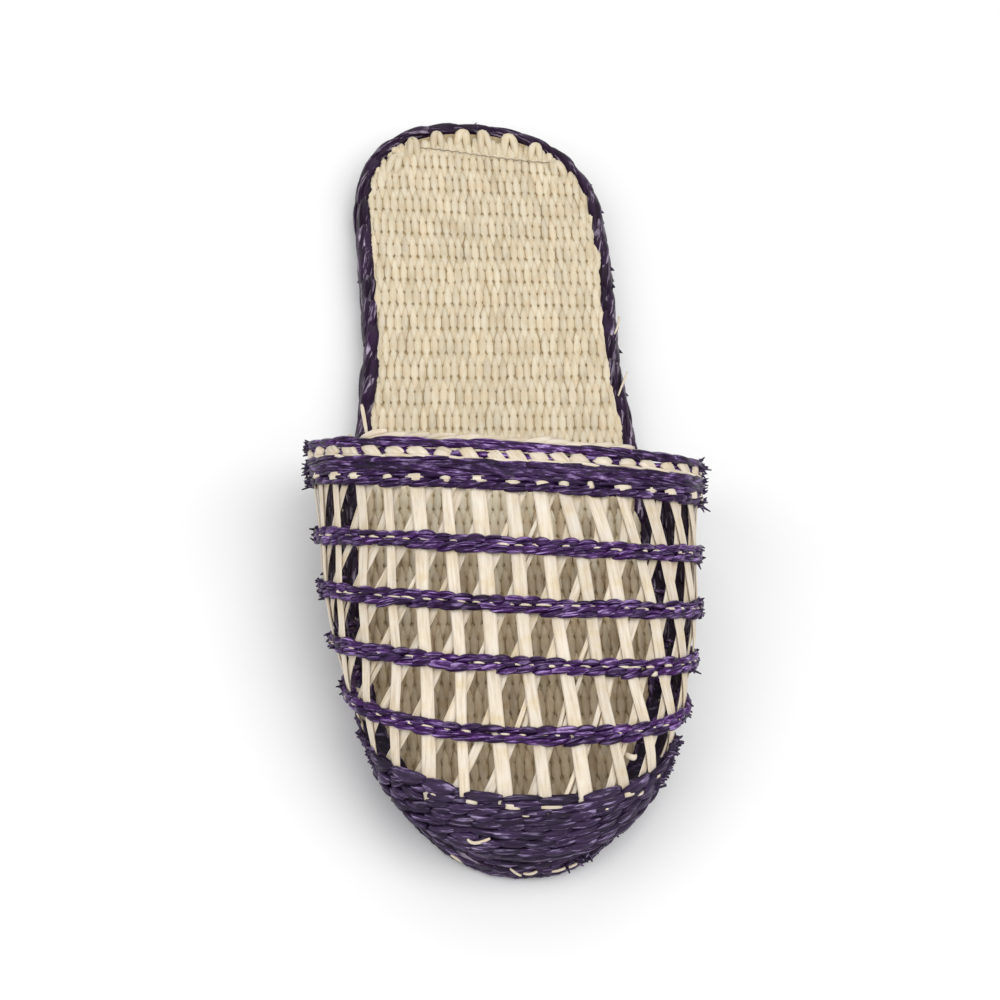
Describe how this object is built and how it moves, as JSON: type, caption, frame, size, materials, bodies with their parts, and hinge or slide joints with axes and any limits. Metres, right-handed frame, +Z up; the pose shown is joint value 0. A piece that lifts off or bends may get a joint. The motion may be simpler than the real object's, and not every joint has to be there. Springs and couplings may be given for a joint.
{
  "type": "woven straw slide slipper",
  "caption": "Open-heeled slipper with a closed toe: a flat straw sole with a bound edge and an openwork woven straw upper with dark twined rows, toe cap and collar.",
  "frame": {"origin": "on the floor under the middle of the slipper's box", "axes": "+Z up, +Y along the sole from the toe to the heel, +X to the right as seen from in front of the toe"},
  "size_m": [0.1048, 0.2601, 0.056],
  "materials": {
    "natural_straw": "satin woven straw",
    "sole_straw": "matt woven straw",
    "purple_straw": "satin dyed straw",
    "purple_twine": "satin dyed straw"
  },
  "bodies": {
    "root": {"sole": "sole_straw", "insole": "natural_straw", "edge_binding": "purple_straw", "upper": "natural_straw", "toe_cap": "purple_straw", "weft_row_1": "purple_twine", "weft_row_2": "purple_twine", "weft_row_3": "purple_twine", "weft_row_4": "purple_twine", "collar_band": "purple_twine", "collar_rim": "natural_straw"}
  },
  "joints": []
}
